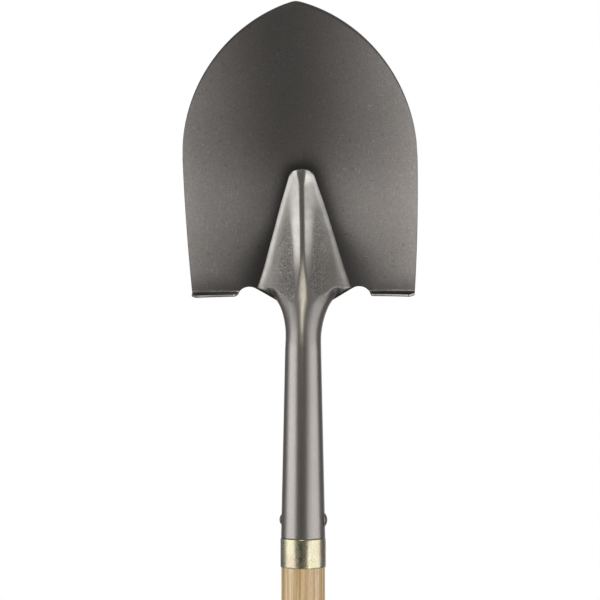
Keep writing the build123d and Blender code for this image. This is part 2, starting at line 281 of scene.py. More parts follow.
class HeadForm:
    """The surfaces of the forged head, worked out from the sizes in the panel."""

    # Handle of a cubic curve that follows a quarter circle
    circle = 4 / 3 * (sqrt(2) - 1)
    # Rounds in which a place of the chord plane is brought onto the dish
    rounds = 8
    # Share of the bend's radius that counts as a tread's depth, and of the depth left at its outer end
    bend_share = 0.7
    tread_end = 0.32
    # Depth of the ridge's rear in the plate, and of its skirt under the front, as shares of the thickness
    core = 0.8
    sunk = 0.08
    # Steps in which the drop of a flank is added up, and the least run and half width it may have
    flank_steps = 160
    least_run = 0.001
    least_half = 0.005
    # Power of the extra width at the flare's corner
    corner_power = 8
    # Height over which the change of the flanks eases out at the heel line
    heel_ease = 0.012
    # Heights over the heel line between which one form of the ridge passes into the next
    saddle_end = (-0.004, 0.026)
    border_sink = (0.0, 0.07)
    middle_start = (-0.012, 0.043)
    nose_start = (0.045, 0.105)
    border_start = (-0.0165, -0.0075)
    heel_soft = (0.0, 0.05)
    nose_soft = (0.106, 0.114)
    foot_narrow = (0.080, 0.112)
    # Heights from the nose between which the crest's flat spreads
    nose_spread = (-0.018, -0.004)
    # Length over which the border's spread at the heel line dies away, and the one over which it draws in
    heel_spread = 0.017
    corner_draw = (0.006, -0.002)
    # Shares of the half width between which the rounding of the flare's sides grows
    side_turn = (0.4, 0.8)
    # Distances from a recess's middle between which the border's end begins, and the rounding of its edges
    recess_outer = (-0.002, 0.002)
    recess_edge = 0.001

    def __init__(self, scene):
        self.blade = scene.shovel_blade
        self.frog = scene.shovel_frog
        self.socket = scene.shovel_socket
        blade, frog = self.blade, self.frog
        self.heel_z = self.socket.mouth_z + blade.heel_height
        self.neck = self.socket.neck_height - blade.heel_height
        self.lean_sin, self.lean_cos = sin(blade.lean), cos(blade.lean)
        self.taper_sin, self.taper_cos = sin(frog.taper), cos(frog.taper)
        self.dish_y = blade.heel_offset - blade.length_radius * cos(blade.heel_lean)
        self.dish_z = self.heel_z - blade.length_radius * sin(blade.heel_lean)
        self.notch_middle = blade.notch_top - blade.notch_radius
        self.breaks = self.outline_breaks()
        self.web_end, _, self.notch_end, self.tread_in, self.tread_out, self.heel_half = self.breaks[1:]
        half, drop = blade.width / 2, (blade.width - blade.heel_width) / 2
        self.point_arc = (half**2 + (blade.length - blade.widest) ** 2) / (2 * half)
        self.side_arc = (drop**2 + blade.widest**2) / (2 * drop)
        turn = blade.lean - blade.heel_lean
        self.bend_top = blade.thickness + blade.tread_bend * (1 - sin(turn))
        self.bend_arc = (blade.tread_bend + blade.thickness / 2) * (pi / 2 - turn)
        nose_z = self.heel_z + frog.length
        self.ridge_foot = Vector((self.dish_at(0, self.heel_z), self.heel_z))
        ridge = Vector((self.dish_at(0, nose_z), nose_z)) - self.ridge_foot
        self.ridge_way = ridge.normalized()
        self.nose_middle = (ridge.length - frog.width / 2 * self.taper_cos) / (1 - self.taper_sin)
        self.nose_radius = ridge.length - self.nose_middle

    def dish_at(self, x, z, depth=0.0):
        """Place of the dish behind the handle axis."""
        blade = self.blade
        reach = blade.length_radius - blade.cross_radius + sqrt((blade.cross_radius + depth) ** 2 - x**2)
        return self.dish_y + sqrt(reach**2 - (z - self.dish_z) ** 2)

    def to_back(self, point):
        """Way from the front of the dish to its back, in a plane beside the middle one."""
        out = Vector((0, point.y - self.dish_y, point.z - self.dish_z)).normalized()
        return out / sqrt(1 - (point.x / self.blade.cross_radius) ** 2)

    def from_plane(self, x, along, out):
        """Point from its place in the blade's chord plane."""
        y = self.blade.heel_offset - along * self.lean_sin - out * self.lean_cos
        return Vector((x, y, self.heel_z + along * self.lean_cos - out * self.lean_sin))

    def on_dish(self, x, along):
        """Point of the blade's front, and its distance from the chord plane."""
        out = 0.0
        for _ in range(self.rounds):
            point = self.from_plane(x, along, out)
            out += (point.y - self.dish_at(x, point.z)) / self.lean_cos
        return self.from_plane(x, along, out), out

    def towards_notch(self, x):
        """Share of the way along a tread from its outer end to the notch."""
        return clamp((self.tread_out - abs(x)) / (self.tread_out - self.tread_in))

    def bend_line(self, x):
        """Height in the chord plane at which a tread starts to bend."""
        return self.bend_top - self.blade.tread_sink * self.towards_notch(x)

    def tread_edge(self, x):
        """Height of a tread's lip in the chord plane, unbent."""
        blade = self.blade
        depth = blade.tread_depth - blade.tread_narrow * self.towards_notch(x)
        return self.bend_line(x) - self.bend_arc - depth + self.bend_share * blade.tread_bend

    def sheet(self, x, along, depth):
        """Point of the plate at a depth behind its front, with the treads bent forward."""
        blade = self.blade
        bend_top = self.bend_line(x)
        bent = along < bend_top and abs(x) > blade.notch_offset
        point, out = self.on_dish(x, bend_top if bent else along)
        back = self.to_back(point)
        if not bent:
            return point + back * depth
        across = back.y * self.lean_cos + back.z * self.lean_sin
        face = Vector((across, back.y * self.lean_sin - back.z * self.lean_cos))
        middle = Vector((out, bend_top)) + blade.tread_bend * face.normalized()
        radius = blade.tread_bend + depth * face.length
        below = bend_top - along
        turn = atan2(face.y, face.x) + below / (blade.tread_bend + blade.thickness / 2)
        if turn < pi / 2:
            place = middle - radius * Vector((cos(turn), sin(turn)))
        else:
            place = middle + Vector((below - self.bend_arc, -radius))
        return self.from_plane(x, place.y, place.x)

    def outline_breaks(self):
        """Distances from the middle at which the lower outline changes."""
        blade = self.blade
        web_end = blade.notch_offset - blade.notch_radius * sin(blade.web_slope)
        notch_end = blade.notch_offset + sqrt(blade.notch_radius**2 - self.notch_middle**2)
        heel = blade.heel_width / 2
        tread = (notch_end + blade.tread_cut, heel - blade.tread_corner, heel)
        return (0.0, web_end, blade.notch_offset, notch_end, *tread)

    def lower_outline(self, x):
        """Lower edge of the plate in the chord plane, unbent."""
        blade = self.blade
        if x < self.web_end:
            end = self.notch_middle + blade.notch_radius * cos(blade.web_slope)
            return end - (self.web_end - x) * tan(blade.web_slope)
        if x < self.notch_end:
            drop = max(blade.notch_radius**2 - (x - blade.notch_offset) ** 2, 0.0)
            return self.notch_middle + sqrt(drop)
        if x < self.tread_in:
            return self.tread_edge(x) * (x - self.notch_end) / (self.tread_in - self.notch_end)
        if x < self.tread_out:
            return self.tread_edge(x)
        corner = clamp((self.heel_half - x) / (self.heel_half - self.tread_out))
        return self.tread_edge(x) * mix(self.tread_end, 1.0, corner)

    def upper_outline(self, x):
        """Pointed upper edge of the plate in the chord plane."""
        blade, arc = self.blade, self.point_arc
        half = blade.width / 2
        x = sqrt(x * x + blade.tip_round**2) if x < half / 2 else x
        return blade.widest + sqrt(max(arc**2 - (x - half + arc) ** 2, 0.0))

    def side_outline(self, along):
        """Half width of the plate between heel and widest place."""
        blade, arc = self.blade, self.side_arc
        along = min(max(along, 0.0), blade.widest)
        return blade.width / 2 - arc + sqrt(arc**2 - (along - blade.widest) ** 2)

    def inside_rim(self, x, along):
        """Distance of a place on the plate inside its curved sides."""
        blade = self.blade
        arc = self.point_arc if along > blade.widest else self.side_arc
        return arc - sqrt((abs(x) - blade.width / 2 + arc) ** 2 + (along - blade.widest) ** 2)

    def socket_radius(self, z):
        """Radius of the tapered socket."""
        socket = self.socket
        part = (z - FERRULE_HIGH.z) / (socket.mouth_z + socket.neck_height - FERRULE_HIGH.z)
        return mix(socket.shoulder_diameter, socket.neck_diameter, part) / 2

    def neck_radius(self, height):
        """Radius of socket and neck at a height over the heel line, even from the flare on."""
        return self.socket_radius(self.heel_z + min(height, self.frog.flare_start))

    def half_width(self, height):
        """Half width of neck, flare and ridge at a height over the heel line."""
        frog = self.frog
        over = max(height - frog.flare_start, 0.0)
        flare = self.neck_radius(height) + over**2 / (2 * frog.flare_radius)
        corner = over / (frog.corner_height - frog.flare_start)
        flare += frog.corner_flare * corner**self.corner_power
        taper = frog.width / 2 + frog.margin - height * tan(frog.taper)
        return soft_min(flare, taper, frog.flank_round)

    def crest_front(self, height):
        """Distance of the crest in front of the handle axis."""
        frog = self.frog
        if height < frog.saddle_height:
            part = rise(height, (frog.crest_start, frog.saddle_height))
            return mix(self.neck_radius(height), frog.saddle_front, part)
        nose = frog.nose_height - self.dish_at(0, self.heel_z + frog.length)
        part = (height - frog.saddle_height) / (frog.length - frog.saddle_height)
        return mix(frog.saddle_front, nose, part**frog.crest_power)

    def section(self, height):
        """Side point and rear curve of the right half at a height over the heel line."""
        blade, frog = self.blade, self.frog
        z = self.heel_z + height
        roof = rise(height, (self.neck, frog.roof_height))
        core = self.core * blade.thickness
        half = self.half_width(height)
        keel = self.dish_at(0, z, core)
        keel += (blade.thickness - core + frog.keel_height) * (1 - blend(height / frog.keel_length))
        side = Vector((half, self.dish_at(half, z, core) * roof))
        back = Vector((0, mix(self.neck_radius(height), keel, roof)))
        round_side = Vector((0, (back.y - side.y) * self.circle))
        dished_side = Vector((-half / 2, half**2 / 2 / blade.cross_radius))
        at_back = Vector((half * mix(self.circle, frog.keel_reach, roof), 0))
        return side, (side, side + round_side.lerp(dished_side, roof), back + at_back, back)

    def flank_drops(self, height):
        """Drops of a flank from the crest at even steps out past the border, and the step."""
        frog = self.frog
        saddle = 1 - rise(height, self.saddle_end)
        spread = (frog.nose_flat - frog.flat) * rise(height - frog.length, self.nose_spread)
        flat = mix(frog.flat, frog.saddle_flat, saddle) + spread
        shoulder = mix(frog.shoulder, frog.saddle_shoulder, saddle) + spread
        over_heel = (height + sqrt(height**2 + self.heel_ease**2)) / 2
        edge = max(frog.width / 2 - over_heel * tan(frog.taper), self.least_half)
        border = mix(frog.heel_border, frog.nose_border, rise(over_heel, self.border_sink))
        fall = self.dish_at(edge, self.heel_z + over_heel) - border + self.crest_front(over_heel)
        step = (edge + 2 * frog.margin) / self.flank_steps
        places = [(n + 0.5) * step for n in range(self.flank_steps)]
        turned = [rise(x, (flat, shoulder)) for x in places]
        near = [t * fade(max(x - shoulder, 0.0), frog.steep) for t, x in zip(turned, places)]
        inner = sum(x < edge for x in places)
        whole_run = step * sum(turned[:inner])
        near_run = step * sum(near[:inner])
        hollow = mix(frog.flare_hollow, frog.middle_hollow, rise(height, self.middle_start))
        hollow = mix(hollow, frog.nose_hollow, rise(over_heel, self.nose_start))
        steep = hollow * fall / whole_run
        gentle = (fall - steep * near_run) / max(whole_run - near_run, self.least_run)
        drops = [0.0]
        for t, n in zip(turned, near):
            drops.append(drops[-1] + step * (gentle * t + (steep - gentle) * n))
        return drops, step

    def front_curve(self, height, side):
        """Function that gives the untrimmed front of neck, flare and ridge across a height."""
        frog = self.frog
        crest = self.crest_front(height)
        ridge = rise(height, (frog.arch_height, frog.flank_height))
        drops, step = self.flank_drops(height)

        def front(x):
            arch = -crest + (crest + side.y) * (1 - sqrt(max(1 - (x / side.x) ** 2, 0.0)))
            place = min(x / step, len(drops) - 1 - TINY)
            low = int(place)
            flank = -crest + mix(drops[low], drops[low + 1], place - low)
            rounding = frog.side_round * rise(x / side.x, self.side_turn) + TINY
            return mix(arch, round_max(flank, arch, rounding), ridge)

        return front

    def over_recess(self, x, along):
        """Distance of a place above the recess between the border's end and the flare."""
        frog = self.frog
        across = max(frog.recess_middle - x, 0.0) / frog.recess_width
        up = max(along + frog.recess_low, 0.0) / frog.recess_height
        around = (sqrt(across**2 + up**2) - 1) * frog.recess_width
        end = along + frog.border_end * rise(x - frog.recess_middle, self.recess_outer) - self.recess_edge
        return round_max(around, end, self.recess_edge)

    def inside_border(self, point):
        """Distance of a point inside the ridge's border, and its share of the turn round the nose."""
        frog = self.frog
        along = (Vector((point.y, point.z)) - self.ridge_foot).dot(self.ridge_way)
        x = abs(point.x)
        from_nose = Vector((x, along - self.nose_middle))
        if from_nose.y > 0 and from_nose.y * self.taper_cos > from_nose.x * self.taper_sin:
            ahead = from_nose.y / max(from_nose.length, TINY)
            ahead = clamp((ahead - self.taper_sin) / (1 - self.taper_sin))
            bulge = frog.nose_bulge * sin(pi * ahead * ahead) ** 2
            return self.nose_radius - from_nose.length + bulge, ahead
        edge = (frog.width / 2 - x) * self.taper_cos - along * self.taper_sin
        edge -= frog.corner_round * rise(along, self.corner_draw)
        edge += frog.heel_flare * fade(max(along, 0.0), self.heel_spread)
        recess = frog.recess_steep * self.over_recess(x, along)
        return round_min(edge, recess, self.recess_edge), 0.0

    def on_ridge(self, height, x, front):
        """Point of the neck, flare or ridge: its front, trimmed by the border walls."""
        frog = self.frog
        z = self.heel_z + height
        dish = self.dish_at(x, z)
        lift = dish - front
        inside, ahead = self.inside_border(Vector((x, min(front, dish), z)))
        wall = inside / tan(mix(frog.draft, frog.nose_draft, blend(ahead)))
        soft = mix(frog.heel_round, frog.border_round, rise(height, self.heel_soft))
        soft = mix(soft, frog.nose_round, rise(height, self.nose_soft))
        foot = mix(frog.foot_round, frog.nose_foot, rise(height, self.foot_narrow))
        trimmed = round_max(round_min(lift, wall, soft), -self.sunk * self.blade.thickness, foot)
        return Vector((x, dish - mix(lift, trimmed, rise(height, self.border_start)), z))


def soften(bm, edges, offset, segments):
    """Rounds edges over."""
    bmesh.ops.bevel(
        bm, geom=edges, offset=offset, segments=segments, profile=0.5,
        affect="EDGES", material=-1, clamp_overlap=True,
    )


def add_grid(bm, columns, rows):
    """A flat grid of unit squares from the origin; returns its vertices."""
    made = bmesh.ops.create_grid(bm, x_segments=columns, y_segments=rows, size=0.5)["verts"]
    low = Vector((min(v.co.x for v in made), min(v.co.y for v in made), 0))
    span = Vector((max(v.co.x for v in made), max(v.co.y for v in made), 0)) - low
    for vert in made:
        vert.co = ((vert.co.x - low.x) / span.x * columns, (vert.co.y - low.y) / span.y * rows, 0)
    return made


# Squares of the plate out from the middle, between the breaks of its lower outline, and its rows
PLATE_STEPS = (22, 8, 12, 4, 22, 8)
PLATE_ROWS = 124
# Share of even spacing in the rows, which otherwise lie closer towards the heel
EVEN_ROWS = 0.24
# Painted light, a brighter band across the middle of the plate: its height over the heel line, reach,
# strength and spread to the sides
PAINTED_LIGHT_HEIGHT = 0.084
PAINTED_LIGHT_REACH = 0.043
PAINTED_LIGHT_STRENGTH = (1.15, 0.42)
PAINTED_LIGHT_SPREAD = (0.03, 0.11)
# Painted shade on the plate beside the ridge: its reach at nose and heel and on the right, and the painted
# shade at the heel and on the rim's edge
SHADE_REACH = (0.009, 0.028)
SHADE_SPREAD = (0.075, 0.0)
SHADE_RIGHT = 1.3
HEEL_SHADE = 0.70
HEEL_SHADE_SPREAD = (0.026, 0.0)
RIM_SHADE = 0.45
# Wear and a painted highlight on a tread's lip, a painted highlight along its bend, and a faint lighter
# band inside the rim
LIP_WEAR_AND_HIGHLIGHT = 1.6
BEND_HIGHLIGHT = 1.0
BEND_BAND = 0.0007
RIM_LIGHTER = 0.06
RIM_BAND = 0.005


def tone_plate(vert, tones, form, x, along, front):
    """Paints a plate point's light and shade, front only, a lighter rim band and a bend highlight."""
    # Painted light across the middle of the plate
    ground = fade(along - PAINTED_LIGHT_HEIGHT, PAINTED_LIGHT_REACH) * mix(*PAINTED_LIGHT_STRENGTH, rise(abs(x), PAINTED_LIGHT_SPREAD))
    # Painted shade beside the ridge, wider on the right, and at the heel
    reach = mix(*SHADE_REACH, rise(along, SHADE_SPREAD)) * (SHADE_RIGHT if x > 0 else 1.0)
    near = fade(max(-form.inside_border(vert.co)[0], 0.0), reach)
    vert[tones["plate"]] = 1.0
    vert[tones["ground"]] = front * ground
    vert[tones["beside"]] = front * max(near, HEEL_SHADE * rise(along, HEEL_SHADE_SPREAD))
    # A faint lighter band inside the rim
    vert[tones["wear_and_highlight"]] = RIM_LIGHTER * fade(form.inside_rim(x, along), RIM_BAND)
    # A painted highlight along a tread's bend
    if abs(x) > form.notch_end and abs(along - form.bend_line(x)) < BEND_BAND:
        vert[tones["wear_and_highlight"]] = BEND_HIGHLIGHT


def add_plate(bm, form, tones):
    """The dished plate with its notches and treads, as one sheet with a rounded rim."""
    blade, breaks = form.blade, form.breaks
    stations = []
    for low, high, count in zip(breaks, breaks[1:], PLATE_STEPS):
        stations += [mix(low, high, n / count) / breaks[-1] for n in range(count)]
    stations.append(1.0)
    half = len(stations) - 1
    front = add_grid(bm, 2 * half, PLATE_ROWS)
    faces = list({face for vert in front for face in vert.link_faces})
    made = bmesh.ops.extrude_face_region(bm, geom=faces)["geom"]
    back = [item for item in made if isinstance(item, bmesh.types.BMVert)]
    bmesh.ops.translate(bm, verts=back, vec=(0, 0, 1))
    around = {face for vert in back for face in vert.link_faces}
    walls = {face for face in around if len({round(vert.co.z) for vert in face.verts}) == 2}
    wall_edges = {edge for face in walls for edge in face.edges}
    rim = [edge for edge in wall_edges if sum(face in walls for face in edge.link_faces) == 1]
    for vert in front + back:
        column = round(vert.co.x) - half
        across = stations[abs(column)] * (1 if column > 0 else -1)
        step, side = vert.co.y / PLATE_ROWS, round(vert.co.z)
        low = form.lower_outline(abs(across) * blade.heel_width / 2)
        high = form.upper_outline(abs(across) * blade.width / 2)
        along = mix(low, high, step * mix(step, 1.0, EVEN_ROWS))
        x = across * form.side_outline(along)
        vert.co = form.sheet(x, along, blade.thickness * side)
        tone_plate(vert, tones, form, x, along, 1 - side)
        # Wear and a painted highlight on a tread's lip
        if step == 0.0 and abs(x) > form.notch_end:
            vert[tones["wear_and_highlight"]] = LIP_WEAR_AND_HIGHLIGHT
        # Painted shade on the rim's edge
        if abs(column) == half or step == 1.0:
            vert[tones["beside"]] = RIM_SHADE
    bmesh.ops.recalc_face_normals(bm, faces=bm.faces[:])
    soften(bm, rim, blade.rim_round, 2)


# Rings of the socket's cone, flare, ridge and nose, and the heights over the heel line where they change
CONE_RINGS = 14
FLARE_RINGS = 70
RIDGE_RINGS = 52
NOSE_RINGS = 40
RIDGE_RINGS_FROM = 0.024
NOSE_RINGS_FROM = 0.108
PAST_NOSE = 0.003
# Points of a quarter of a ring in front and at the rear
FRONT_POINTS = 96
REAR_POINTS = 22
# Heights over the heel line between which each tone of the ridge comes or goes
RIDGE_TONE = (-0.06, -0.01)
CREST_WEAR_AND_HIGHLIGHT_START = (0.015, 0.055)
BORDER_WEAR_AND_HIGHLIGHT_START = (0.002, 0.014)
PITS_START = (-0.055, -0.005)
PITS_FADE = (0.006, -0.018)
STRIP_GROWS = (-0.01, 0.03)
STRIP_SPREADS = (0.03, 0.08)
# Height over which the pits keep clear of the border, and the distances inside it where they come
BORDER_FROM = -0.0145
PITS_INSIDE = (0.0005, 0.0070)
# Heights from the nose between which the pits end and the painted shade on the nose's end starts
PITS_END = (-0.010, -0.065)
NOSE_SHADE = (-0.007, -0.003)
# Distances from the middle between which wear with painted highlight, the nose's painted shade and pits
# come or go, and the half width of the bare strip
CREST_EDGE = (0.0012, 0.0034)
NOSE_SHADE_WIDTH = (0.0050, 0.0025)
OUTER_FLANK = (0.014, 0.028)
STRIP_WIDTH = (0.002, 0.0055)
STRIP_MORE = 0.003
STRIP_EDGE = (0.0, 0.006)
# Wear and painted highlight of the crest and the border, and wear with painted highlight and pitting
# of the flanks on either side, the right flank painted lighter than the left for how the light falls
CREST_WEAR_AND_HIGHLIGHT = 0.15
BORDER_WEAR_AND_HIGHLIGHT = 0.9
BORDER_BAND = 0.0035
RIGHT_FLANK = (1.2, 0.95)
LEFT_FLANK = (0.85, 1.05)
OUTER_PITS = 0.62


def tone_ridge(vert, tones, form, height, x, depth, flank):
    """Gives a point on the front of neck, flare or ridge its wear, painted highlights and shade, and pits.
    """
    wear, pitting = flank
    from_nose = height - form.frog.length
    # Wear and painted highlight along the border, and on crest and flanks
    border = BORDER_WEAR_AND_HIGHLIGHT * fade(depth, BORDER_BAND) * rise(height, BORDER_WEAR_AND_HIGHLIGHT_START)
    crest = mix(CREST_WEAR_AND_HIGHLIGHT, wear, rise(x, CREST_EDGE)) * rise(height, CREST_WEAR_AND_HIGHLIGHT_START)
    inside = rise(depth, PITS_INSIDE) if height > BORDER_FROM else 1.0
    shown = inside * rise(height, PITS_START) * rise(from_nose, PITS_END)
    strip = mix(*STRIP_WIDTH, rise(height, STRIP_GROWS)) + STRIP_MORE * rise(height, STRIP_SPREADS)
    outer = max(rise(x, OUTER_FLANK), rise(height, PITS_FADE))
    pits = shown * pitting * mix(1.0, OUTER_PITS, outer) * rise(x - strip, STRIP_EDGE)
    # Painted shade on the middle of the nose's end, with the flanks' darker and rougher skin
    nose = rise(from_nose, NOSE_SHADE) * rise(x, NOSE_SHADE_WIDTH)
    vert[tones["ridge"]] = rise(height, RIDGE_TONE)
    vert[tones["wear_and_highlight"]] = max(crest, border)
    vert[tones["flank"]] = max(pits, nose)


def socket_rings(form):
    """Heights and radii of the round rings of the socket, from its mouth to the neck."""
    socket = form.socket
    seat, edge, low = socket.seat_diameter / 2, socket.shoulder_round, FERRULE_HIGH.z
    shoulder, top = form.socket_radius(low), form.heel_z + form.neck
    rings = [(socket.mouth_z, seat), (low, seat), (low, shoulder - edge)]
    for turn in (radians(30), radians(60), radians(90)):
        rings.append((low + edge * (1 - cos(turn)), shoulder - edge * (1 - sin(turn))))
    cone = [low + 2 * edge] + [mix(low + edge, top, n / CONE_RINGS) for n in range(1, CONE_RINGS)]
    return rings + [(z, form.socket_radius(z)) for z in cone]


def add_shank(bm, form, tones):
    """Socket, neck, flare and ridge as one tube whose rings follow the sections."""
    rounds = socket_rings(form)
    heights = [mix(form.neck, RIDGE_RINGS_FROM, n / FLARE_RINGS) for n in range(FLARE_RINGS)]
    heights += [mix(RIDGE_RINGS_FROM, NOSE_RINGS_FROM, n / RIDGE_RINGS) for n in range(RIDGE_RINGS)]
    end = form.frog.length + PAST_NOSE
    heights += [mix(NOSE_RINGS_FROM, end, n / NOSE_RINGS) for n in range(NOSE_RINGS + 1)]
    sections = [form.section(height) for height in heights]
    fronts = [form.front_curve(height, section[0]) for height, section in zip(heights, sections)]
    half_ring = FRONT_POINTS + REAR_POINTS
    made = add_grid(bm, 2 * half_ring, len(rounds) + len(heights) - 1)
    for vert in made:
        place, level = round(vert.co.x) - half_ring, round(vert.co.y)
        mirrored = -1 if place > 0 else 1
        ahead = abs(place) <= FRONT_POINTS
        part = 1 - abs(place) / FRONT_POINTS if ahead else (abs(place) - FRONT_POINTS) / REAR_POINTS
        turn = pi / 2 * part
        if level < len(rounds):
            z, radius = rounds[level]
            vert.co = (mirrored * radius * cos(turn), radius * (-sin(turn) if ahead else sin(turn)), z)
            continue
        level -= len(rounds)
        height = heights[level]
        side, rear_curve = sections[level]
        if ahead:
            x = side.x * cos(turn)
            point = form.on_ridge(height, x, fronts[level](x))
            # The right flank is painted lighter and the left darker, for how the light falls
            flank = RIGHT_FLANK if mirrored > 0 else LEFT_FLANK
            tone_ridge(vert, tones, form, height, x, form.inside_border(point)[0], flank)
        else:
            rear = bezier(rear_curve, part)
            point = Vector((rear.x, rear.y, form.heel_z + height))
        vert.co = (mirrored * point.x, point.y, point.z)
    bmesh.ops.remove_doubles(bm, verts=made, dist=TINY)
    ends = [edge for edge in bm.edges if edge.is_boundary]
    bmesh.ops.holes_fill(bm, edges=ends, sides=0)


def lathe(bm, profile, axis, steps, closed=False):
    """Turns a profile of points (radius, height) about an axis and closes it."""
    upright = axis == "Z"
    turn = (0, 0, 1) if upright else (1, 0, 0)
    places = [(radius, 0, height) if upright else (height, 0, radius) for radius, height in profile]
    verts = [bm.verts.new(place) for place in places]
    pairs = list(zip(verts, verts[1:]))
    if closed:
        pairs.append((verts[-1], verts[0]))
    edges = [bm.edges.new(pair) for pair in pairs]
    bmesh.ops.spin(
        bm, geom=verts + edges, cent=(0, 0, 0), axis=turn, angle=2 * pi, steps=steps,
        use_merge=True, use_duplicate=False,
    )
    bmesh.ops.remove_doubles(bm, verts=bm.verts[:], dist=TINY)
    bmesh.ops.recalc_face_normals(bm, faces=bm.faces[:])


def ring_edges(bm, test):
    """Edges whose ends both pass a test."""
    return [edge for edge in bm.edges if all(test(vert.co) for vert in edge.verts)]


def add_object(bm, name, material):
    """Makes an object of a mesh in one material."""
    mesh = bpy.data.meshes.new(name)
    bm.to_mesh(mesh)
    bm.free()
    mesh.materials.append(material)
    item = bpy.data.objects.new(name, mesh)
    bpy.context.scene.collection.objects.link(item)
    return item


def finish_piece(bm, name, material, node):
    """Makes the object of a piece, in place of its CAD node."""
    bmesh.ops.recalc_face_normals(bm, faces=bm.faces[:])
    for face in bm.faces:
        face.smooth = True
    piece = add_object(bm, name, material)
    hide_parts(node)
    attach(piece, "root")


class Surface:
    """Small helper that adds nodes to one material."""

    def __init__(self, name):
        self.material = bpy.data.materials.new(name)
        self.material.use_nodes = True
        self.nodes = self.material.node_tree.nodes
        self.links = self.material.node_tree.links
        self.shader = self.nodes["Principled BSDF"]
        self.place = self.add("ShaderNodeTexCoord", "Object", {})

    def put(self, socket, value):
        """Links a value or sets it."""
        if isinstance(value, bpy.types.NodeSocket):
            self.links.new(value, socket)
        else:
            socket.default_value = value

    def add(self, kind, output, inputs, **settings):
        """Adds a node with its settings and inputs; returns one of its outputs."""
        node = self.nodes.new(kind)
        for key, value in settings.items():
            setattr(node, key, value)
        for key, value in inputs.items():
            self.put(node.inputs[key], value)
        return node.outputs[output]

    def stretched(self, scale, turn=(0, 0, 0)):
        """Object coordinates with their own scale."""
        inputs = {"Vector": self.place, "Scale": scale, "Rotation": turn}
        return self.add("ShaderNodeMapping", "Vector", inputs)

    def noise(self, scale, detail=4.0, rough=0.55, vector=None, distortion=0.0):
        """Noise over the object."""
        inputs = {"Scale": scale, "Detail": detail, "Roughness": rough, "Distortion": distortion}
        inputs["Vector"] = self.place if vector is None else vector
        return self.add("ShaderNodeTexNoise", "Fac", inputs)

    def cells(self, scale):
        """Distance to scattered points."""
        return self.add("ShaderNodeTexVoronoi", "Distance", {"Vector": self.place, "Scale": scale})

    def step(self, value, low, high, bottom=0.0, top=1.0):
        """Value mapped from one range to another, held at the ends."""
        inputs = {"Value": value, "From Min": low, "From Max": high, "To Min": bottom, "To Max": top}
        return self.add("ShaderNodeMapRange", "Result", inputs, interpolation_type="SMOOTHSTEP")

    def math(self, kind, first, second):
        """Two values combined."""
        return self.add("ShaderNodeMath", "Value", {0: first, 1: second}, operation=kind)

    def times(self, first, second):
        """Two values multiplied."""
        return self.math("MULTIPLY", first, second)

    def blend(self, part, first, second, kind="MIX"):
        """Two colours combined."""
        inputs = {0: part, 6: first, 7: second}
        return self.add("ShaderNodeMix", 2, inputs, data_type="RGBA", blend_type=kind)

    def bump(self, height, distance, strength, below=None):
        """Relief of a height in metres, on top of another where one is given."""
        inputs = {"Height": height, "Distance": distance, "Strength": strength}
        if below is not None:
            inputs["Normal"] = below
        return self.add("ShaderNodeBump", "Normal", inputs)

    def attribute(self, name):
        """A value kept on the mesh."""
        return self.add("ShaderNodeAttribute", "Fac", {}, attribute_name=name)

    def set(self, **values):
        """Sets sockets of the shader by name."""
        for key, value in values.items():
            self.put(self.shader.inputs[key.replace("_", " ").title().replace("Ior", "IOR")], value)


# Tones that the head's points carry for its steel
STEEL_TONES = ("flank", "ridge", "plate", "beside", "wear_and_highlight", "ground")
# Factor by which the painted light across the middle of the plate lifts its colour
PAINTED_LIGHT_LIFT = (1.55, 1.55, 1.55, 1.0)


